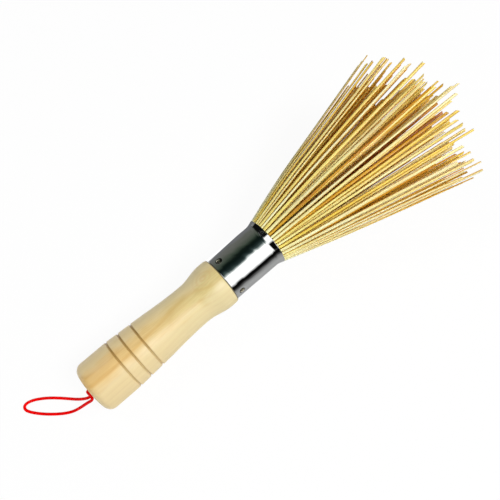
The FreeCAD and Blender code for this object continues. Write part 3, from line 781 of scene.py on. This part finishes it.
def softbox(name, direction, distance, size, power):
    """A rectangular lamp, aimed at the middle of the brush from a direction."""
    data = bpy.data.lights.new(name, "AREA")
    data.shape = "RECTANGLE"
    data.size, data.size_y = size
    data.energy = power
    lamp = in_scene(name, data)
    direction = np.array(direction) / np.linalg.norm(direction)
    aim = place(AIM_ALONG, 0.0, 0.0)
    # The lamp's long side lies along the brush.
    long = np.array([1.0, 0, 0]) - direction[0] * direction
    long /= np.linalg.norm(long)
    turn = Matrix(np.stack([long, np.cross(direction, long), direction], axis=-1).tolist()).to_4x4()
    lamp.matrix_world = Matrix.Translation(aim + direction * distance) @ turn


def seen_directly(tree):
    """1 for what the camera sees, straight or in a mirror or glass, and 0 for the light given to others."""
    seen = add(tree, "ShaderNodeLightPath").outputs
    straight = add(tree, "ShaderNodeMath", {0: seen["Is Camera Ray"], 1: seen["Is Glossy Ray"]},
                   operation="MAXIMUM")
    return add(tree, "ShaderNodeMath", {0: straight, 1: seen["Is Transmission Ray"]}, operation="MAXIMUM")


def floor():
    """A wide white floor. Where it is seen, most of it is its own white, so that only the deepest shadow
    shows."""
    material, tree = bare_material("white_floor")
    matt = add(tree, "ShaderNodeBsdfDiffuse", {"Color": srgb("#ffffff")})
    glow = add(tree, "ShaderNodeEmission", {"Color": srgb("#ffffff"), "Strength": 1.0})
    share = add(tree, "ShaderNodeMath", {0: seen_directly(tree), 1: FLOOR_OWN_WHITE}, operation="MULTIPLY")
    surface = add(tree, "ShaderNodeMixShader", {0: share, 1: matt, 2: glow})
    add(tree, "ShaderNodeOutputMaterial", {"Surface": surface})
    mesh = bpy.data.meshes.new("floor")
    corners = [(-FLOOR_REACH, -FLOOR_REACH, 0), (FLOOR_REACH, -FLOOR_REACH, 0),
               (FLOOR_REACH, FLOOR_REACH, 0), (-FLOOR_REACH, FLOOR_REACH, 0)]
    mesh.from_pydata(corners, [], [(0, 1, 2, 3)])
    mesh.materials.append(material)
    piece = in_scene("floor", mesh)


def surroundings():
    """A white room: dim for the light it gives, full white where the camera or a mirror sees it."""
    world = bpy.data.worlds.new("room")
    bpy.context.scene.world = world
    world.use_nodes = True
    tree = world.node_tree
    tree.nodes.clear()
    strength = add(tree, "ShaderNodeMapRange",
                   {"Value": seen_directly(tree), "To Min": ROOM_LIGHT, "To Max": 1.0})
    light = add(tree, "ShaderNodeBackground", {"Color": srgb("#ffffff"), "Strength": strength})
    add(tree, "ShaderNodeOutputWorld", {"Surface": light})


def share_of_turn(*stops):
    """Colour stops placed by degrees, from -180 to 180, as shares from 0 to 1."""
    return tuple(((degrees + 180) / 360, colour) for degrees, colour in stops)


def tent_mesh(middle):
    """A tunnel along X: an arc about the middle, from just above the floor on one side over to the other, and
    from both its ends on along the floor to a narrow gap below the middle."""
    edge = math.acos(-(middle[2] - TENT_FOOT) / TENT_RADIUS)
    angle = np.linspace(-edge, edge, 121)
    arc = middle[1:] + TENT_RADIUS * np.stack([np.sin(angle), np.cos(angle)], axis=-1)
    start = [(middle[1] - TENT_HALF_GAP, TENT_FOOT)]
    end = [(middle[1] + TENT_HALF_GAP, TENT_FOOT)]
    profile = np.concatenate([start, arc, end])
    ends = (middle[0] - TENT_HALF_LENGTH, middle[0] + TENT_HALF_LENGTH)
    points = np.concatenate([np.column_stack([np.full(len(profile), x), profile]) for x in ends])
    count = len(profile)
    faces = [(i, i + 1, count + i + 1, count + i) for i in range(count - 1)]
    mesh = bpy.data.meshes.new("reflector_tent")
    mesh.from_pydata(points.tolist(), [], faces)
    return mesh


def card_greys(middle):
    """The tent's cards: greys that change with the angle round the ferrule, as one ramp from the floor on the
    -Y side, over the top, to the floor on the +Y side, where a white card ends it that only the nails' round
    heads find. The cards' edges waver a little along the tunnel. Towards the butt, where only the flared lip
    looks, and past the tips, where its edge looks, the cards are mostly black."""
    material, tree = bare_material("card_greys")
    spot = add(tree, "ShaderNodeTexCoord").outputs["Object"]
    parts = add(tree, "ShaderNodeSeparateXYZ", {0: spot})
    aside = add(tree, "ShaderNodeMath", {0: parts.outputs[1], 1: float(middle[1])}, operation="SUBTRACT")
    above = add(tree, "ShaderNodeMath", {0: parts.outputs[2], 1: float(middle[2])}, operation="SUBTRACT")
    turn = add(tree, "ShaderNodeMath", {0: aside, 1: above}, operation="ARCTAN2")
    # The waver changes every 25 mm or so along the tunnel and is stronger on the +Y side.
    drawn = add(tree, "ShaderNodeMapping", {"Vector": spot, "Scale": (10, 1, 1)})
    waver = add(tree, "ShaderNodeTexNoise", {"Vector": drawn, "Scale": 1 / (250 * MM), "Detail": 1.0})
    waver = add(tree, "ShaderNodeMath", {0: waver.outputs["Fac"], 1: 0.5}, operation="SUBTRACT")
    amount = add(tree, "ShaderNodeMapRange", {"Value": turn, "From Min": math.radians(-30),
                                              "From Max": math.radians(15), "To Min": 0.20, "To Max": 0.75})
    turn = add(tree, "ShaderNodeMath", {0: waver, 1: amount, 2: turn}, operation="MULTIPLY_ADD")
    share = add(tree, "ShaderNodeMapRange", {"Value": turn, "From Min": -math.pi, "From Max": math.pi})
    over_sleeve = add(tree, "ShaderNodeValToRGB", {"Fac": share}, stops=share_of_turn(
        (-180, "#929292"), (-119, "#9c9c9c"), (-107, "#868686"), (-98, "#3a3a3a"), (-92, "#060606"),
        (-79, "#060606"), (-68, "#ffffff"), (-25, "#ffffff"), (-19, "#a8b0ae"), (-12, "#3f4c4b"),
        (-3, "#1c2726"), (8, "#0a1412"), (17, "#0f1814"), (27, "#2a342c"), (38, "#3f473e"), (58, "#50544d"),
        (83, "#5f605c"), (104, "#66676a"), (114, "#6a6a6d"), (119, "#ffffff"), (178, "#ffffff")))
    over_lip = add(tree, "ShaderNodeValToRGB", {"Fac": share}, stops=share_of_turn(
        (-180, "#929292"), (-107, "#868686"), (-98, "#2a2a2a"), (-92, "#060606"), (-38, "#060606"),
        (-30, "#ffffff"), (-1, "#ffffff"), (7, "#090b0b"), (93, "#0c0d0d"), (102, "#ffffff"),
        (140, "#ffffff"), (150, "#0c0d0d")))
    # The lip's cards start 90 to 125 mm towards the butt from the middle, and up to 100 mm sooner on +Y.
    forward = add(tree, "ShaderNodeMath", {0: parts.outputs[0], 1: float(middle[0])}, operation="SUBTRACT")
    allowed = add(tree, "ShaderNodeMapRange", {"Value": turn, "From Min": math.radians(20),
                                               "From Max": math.radians(90), "To Min": 0.0, "To Max": 0.10})
    back = add(tree, "ShaderNodeMath", {0: allowed, 1: forward}, operation="SUBTRACT")
    towards_butt = add(tree, "ShaderNodeMapRange", {"Value": back, "From Min": 0.09, "From Max": 0.125})
    greys = add(tree, "ShaderNodeMix", {"Factor": towards_butt, 6: over_sleeve, 7: over_lip},
                data_type="RGBA")
    past_tips = add(tree, "ShaderNodeMapRange", {"Value": forward, "From Min": 0.12, "From Max": 0.18})
    greys = add(tree, "ShaderNodeMix", {"Factor": past_tips, 6: greys.outputs[2], 7: srgb("#0c0c0c")},
                data_type="RGBA")
    glow = add(tree, "ShaderNodeEmission", {"Color": greys.outputs[2], "Strength": CARD_STRENGTH})
    add(tree, "ShaderNodeOutputMaterial", {"Surface": glow})
    return material


def reflector_tent():
    """What the polished steel shows: a long tunnel of cards over the brush and beside it on the floor, seen
    only in reflections."""
    middle = place(TENT_ALONG, 0.0, 0.0)
    mesh = tent_mesh(middle)
    mesh.materials.append(card_greys(middle))
    piece = in_scene("reflector_tent", mesh)
    piece.visible_camera = False
    piece.visible_diffuse = False
    piece.visible_shadow = False
    piece.visible_transmission = False


# The brush.

finished("handle_turned", handle_mesh(), turned_pine(), "turned_wood", "handle")
sheet_steel = polished_steel("polished_stainless_sheet", roughness=0.05, dull="#e9ebea", bright="#f0f1f0")
finished("ferrule_polished", ferrule_mesh(), sheet_steel, "sheet_steel", "ferrule")
nail_steel = polished_steel("polished_nail_steel", roughness=0.07, dull="#e6dcb8", bright="#fbf6e4")
finished("ferrule_nails_polished", nails_mesh(), nail_steel, "nail_steel", "ferrule_nails")
bamboo = split_bamboo()
for ring in range(1, COURSES + 1):
    course = "splint_ring_%d" % ring
    # Painted shade: the courses deeper in the bundle, under the outer ones, are browner.
    finished(course + "_split", splints_mesh(course, TONE_BASE + DEPTH_SHADE_STEP * ring), bamboo, "bamboo", course)
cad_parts["spreading_wedge"].data.materials.clear()
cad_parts["spreading_wedge"].data.materials.append(wedge_wood())
hanging_cord(red_cord())

camera()
surroundings()
floor()
reflector_tent()
softbox("key", direction=(0.10, -0.56, 0.84), distance=1.6, size=(0.8, 0.5), power=18.8)
softbox("fill", direction=(-0.35, 0.45, 0.82), distance=1.6, size=(0.5, 0.5), power=4.2)

bpy.context.scene.view_settings.view_transform = "Standard"
